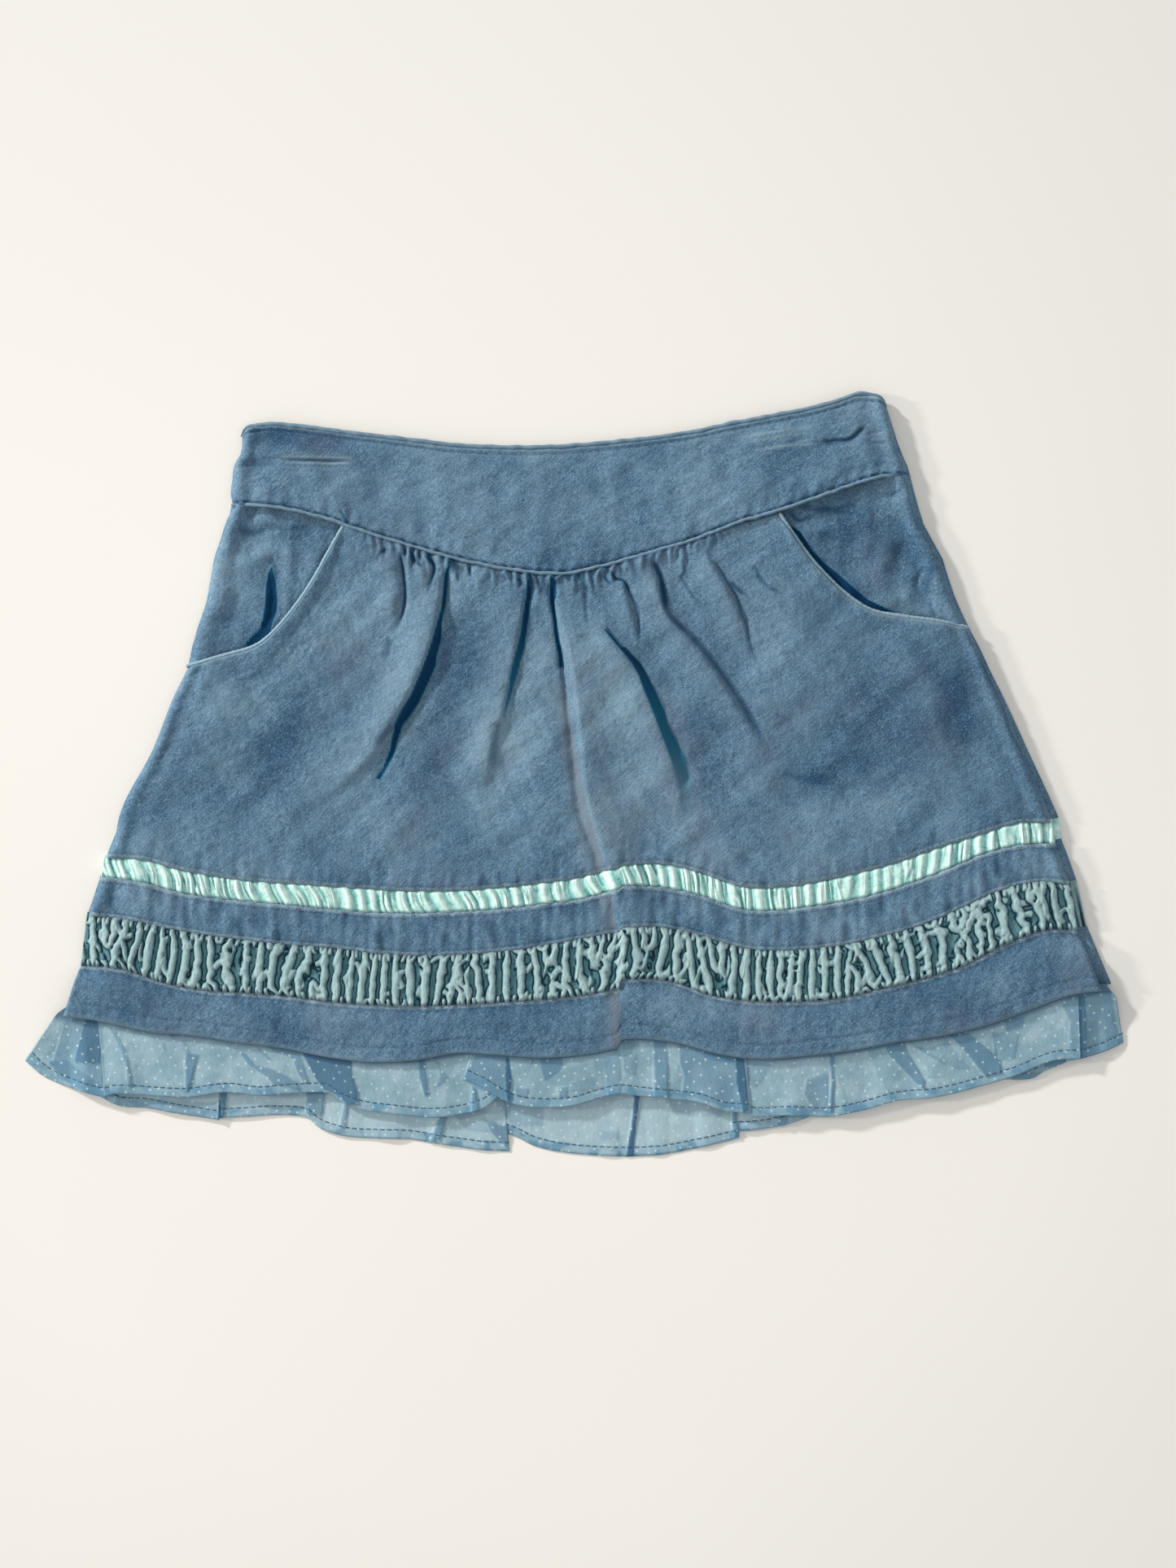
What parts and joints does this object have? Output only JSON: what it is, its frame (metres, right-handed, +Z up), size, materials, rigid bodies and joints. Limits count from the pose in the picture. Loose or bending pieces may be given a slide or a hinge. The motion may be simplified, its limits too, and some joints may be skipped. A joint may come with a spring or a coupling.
{
  "type": "velour skirt",
  "caption": "Child's flared velour skirt laid flat, with a dipped yoke, piped pocket mouths, a gathered front, ruched satin and velvet insets and a dotted voile ruffle.",
  "frame": {"origin": "on the surface the skirt lies on, under the middle of its bounding box", "axes": "+X to the wearer's left, which is the right of the front as seen, along the hem; +Y from hem to waist; +Z up out of the front"},
  "size_m": [0.4216, 0.2927, 0.0096],
  "materials": {
    "velour": "dusty slate blue velour with a short worn nap",
    "piping": "lighter blue piping, worn pale along its crown",
    "satin": "glossy mint satin ribbon, ruched",
    "velvet": "crushed grey teal velvet, pale on its crests and dark between them",
    "voile": "thin light blue voile with small pale dots"
  },
  "bodies": {
    "root": {"yoke_front": "velour", "yoke_back": "velour", "waist_piping": "piping", "yoke_piping": "piping", "hip_left": "velour", "hip_right": "velour", "pocket_piping_left": "piping", "pocket_piping_right": "piping", "panel_front": "velour", "panel_back": "velour", "satin_front": "satin", "satin_back": "satin", "band_front": "velour", "band_back": "velour", "velvet_front": "velvet", "velvet_back": "velvet", "hem_band_front": "velour", "hem_band_back": "velour", "ruffle_front": "voile", "ruffle_back": "voile"}
  },
  "joints": []
}
